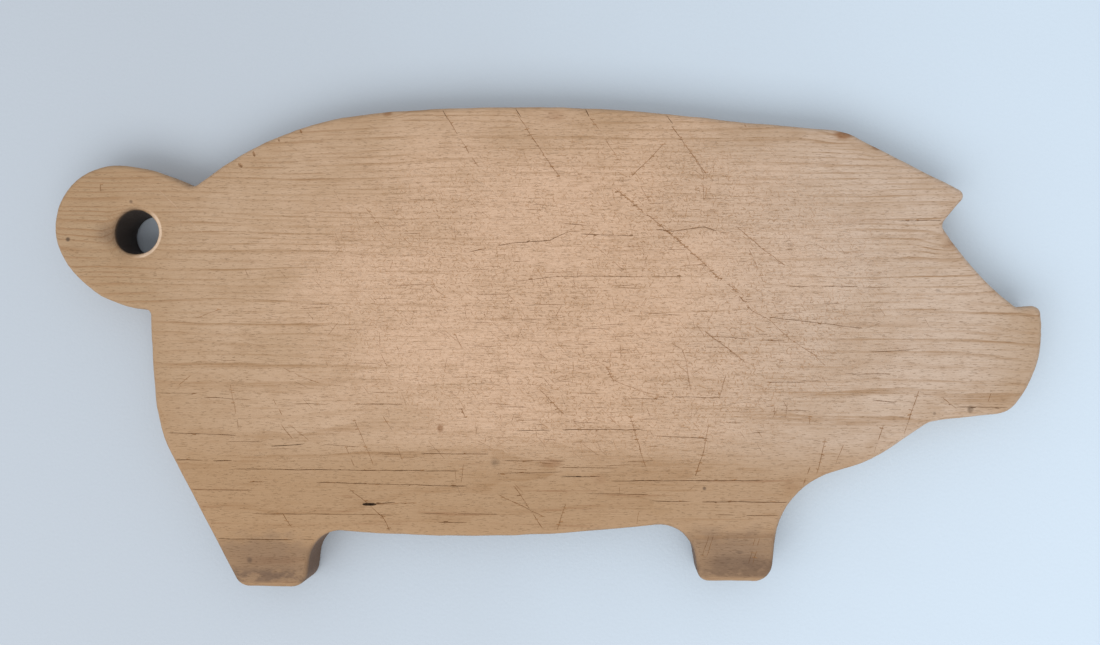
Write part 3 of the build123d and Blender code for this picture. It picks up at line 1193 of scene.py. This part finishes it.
    def unwrap(self) -> None:
        """Lay out the map: the two faces flat, one over the other, and the walls as strips."""
        mesh = self.piece.data
        for layer in list(mesh.uv_layers):
            mesh.uv_layers.remove(layer)
        chart = mesh.uv_layers.new(name="OFBake")
        at = places(mesh)
        tree, names = self.outline.tree()
        run = np.zeros(len(at))
        loop_of = np.zeros(len(at), int)
        for number, (x, y, _) in enumerate(at):
            k, n = names[tree.find((x, y, 0.0))[1]]
            run[number] = self.outline.lengths[k][n]
            loop_of[number] = k
        scale = self.map_scale
        margin = self.map_margin
        height = (self.high.y - self.low.y) * scale
        strip = (self.high.z - self.low.z + 2.0) * scale
        shelf = 2.0 * height + 3.0 * margin
        flat = np.zeros((len(mesh.loops), 2))
        tones = np.zeros(len(mesh.polygons))
        mesh.attributes["tone"].data.foreach_get("value", tones)
        for face in mesh.polygons:
            corners = np.array(face.vertices)
            spots = at[corners]
            wall = abs(face.normal.z) < self.wall_slope and abs(tones[face.index]) < 1e-3
            if not wall:
                u = (spots[:, 0] - self.low.x) * scale + margin
                v = (spots[:, 1] - self.low.y) * scale + margin
                if face.normal.z < 0.0:
                    v = (self.high.y - spots[:, 1]) * scale + 2.0 * margin + height
            else:
                k = loop_of[corners[0]]
                total = self.outline.lengths[k][-1]
                s = run[corners].copy()
                s[s - s.min() > total / 2] -= total
                v = (spots[:, 2] - self.low.z) * scale
                if k == 0:
                    part = total / self.map_rows
                    row = int(np.clip(np.floor(max(s.mean(), 0.0) / part), 0, self.map_rows - 1))
                    u = (s - row * part) * scale + margin
                    v = v + shelf + row * (strip + margin)
                else:
                    u = s * scale + 1.0 - (total + 6.0) * scale
                    v = v + margin
            flat[list(face.loop_indices)] = np.column_stack((u, v))
        chart.data.foreach_set("uv", flat.reshape(-1))
        chart.active = True
        chart.active_render = True
        log.info("map: from %s to %s", flat.min(axis=0).round(3), flat.max(axis=0).round(3))

    def dress(self) -> None:
        """Smooth the shading, give the board its finish, attach it to its body and hide the imported
        solid.
        """
        self.piece.data.materials.clear()
        self.piece.data.materials.append(WornPine(hole=self.hole_middle()).build())
        take(self.piece)
        bpy.ops.object.shade_smooth_by_angle(angle=math.radians(self.sharp_angle))
        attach(self.piece, self.body)
        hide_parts(self.node)

    def build(self) -> bpy.types.Object:
        """Build the board.

        Returns:
            The finished piece.
        """
        self.start()
        self.divide()
        self.wear_edges()
        self.cut_marks()
        self.hollow()
        self.carry()
        self.unwrap()
        self.dress()
        triangles = sum(len(face.vertices) - 2 for face in self.piece.data.polygons)
        log.info("%s: %d triangles", self.name, triangles)
        return self.piece


# --------------------------------------------------------------------------- the studio


@dataclass
class Studio:
    """The floor, the lights and the camera."""

    floor_size: float = 6.0
    floor_gap: float = 0.0001
    camera_rise: float = 0.4569
    camera_place: Point = (0.03756, 0.00107)
    camera_turn: Tuple[float, float, float] = (1.322, 3.638, 0.042)
    wear_line: float = 0.0022
    lens: float = 31.91
    sensor: float = 36.0
    sky_colour: Colour = (0.985, 0.985, 1.0)
    sky_power: float = 0.76

    def floor(self) -> None:
        """Lay the floor under the board."""
        leave_nothing_selected()
        level = CAD_BOX[0][2] - self.floor_gap
        bpy.ops.mesh.primitive_plane_add(size=self.floor_size, location=(0.0, 0.0, level))
        floor = bpy.context.object
        floor.name = "floor"
        with editing(floor):
            bpy.ops.mesh.subdivide(number_cuts=8)
        bpy.ops.object.transform_apply(location=True, rotation=True, scale=True)
        floor.data.materials.append(PaleFloor().build())

    def lamp(self, name: str, place: Sequence[float], size: Point, power: float, colour: Colour) -> None:
        """Hang one soft lamp that points at the middle of the board."""
        light = bpy.data.lights.new(name, "AREA")
        light.shape = "RECTANGLE"
        light.size, light.size_y = size
        light.energy = power
        light.color = colour
        lamp = bpy.data.objects.new(name, light)
        bpy.context.scene.collection.objects.link(lamp)
        lamp.location = place
        lamp.rotation_euler = (-Vector(place)).to_track_quat("-Z", "Y").to_euler()

    def lights(self) -> None:
        """Light the board softly from the feet's side, with pale light all round."""
        self.lamp("key", (-0.10, -1.10, 1.45), (2.2, 1.1), 16.0, (1.0, 0.985, 0.97))
        self.lamp("window", (-0.95, -0.50, 0.95), (1.0, 0.8), 3.0, (0.90, 0.95, 1.0))
        world = bpy.data.worlds.new("studio")
        world.use_nodes = True
        back = world.node_tree.nodes["Background"]
        back.inputs["Color"].default_value = (*self.sky_colour, 1.0)
        back.inputs["Strength"].default_value = self.sky_power
        bpy.context.scene.world = world
        bpy.context.scene.view_settings.view_transform = "Standard"

    def camera(self) -> None:
        """Set the camera above the board."""
        data = bpy.data.cameras.new("camera")
        data.sensor_width = self.sensor
        data.lens = self.lens
        camera = bpy.data.objects.new("camera", data)
        bpy.context.scene.collection.objects.link(camera)
        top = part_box("board")[1].z - self.wear_line
        camera.location = (*self.camera_place, top + self.camera_rise)
        camera.rotation_euler = [math.radians(angle) for angle in self.camera_turn]
        bpy.context.scene.camera = camera

    def build(self) -> None:
        """Set up the whole studio."""
        self.camera()
        self.lights()
        self.floor()


def main() -> None:
    """Build the studio and the board."""
    Studio().build()
    log.info("studio is set")
    board = PineBoard().build()
    log.info("built %s", board.name)


if __name__ == "__main__":
    main()
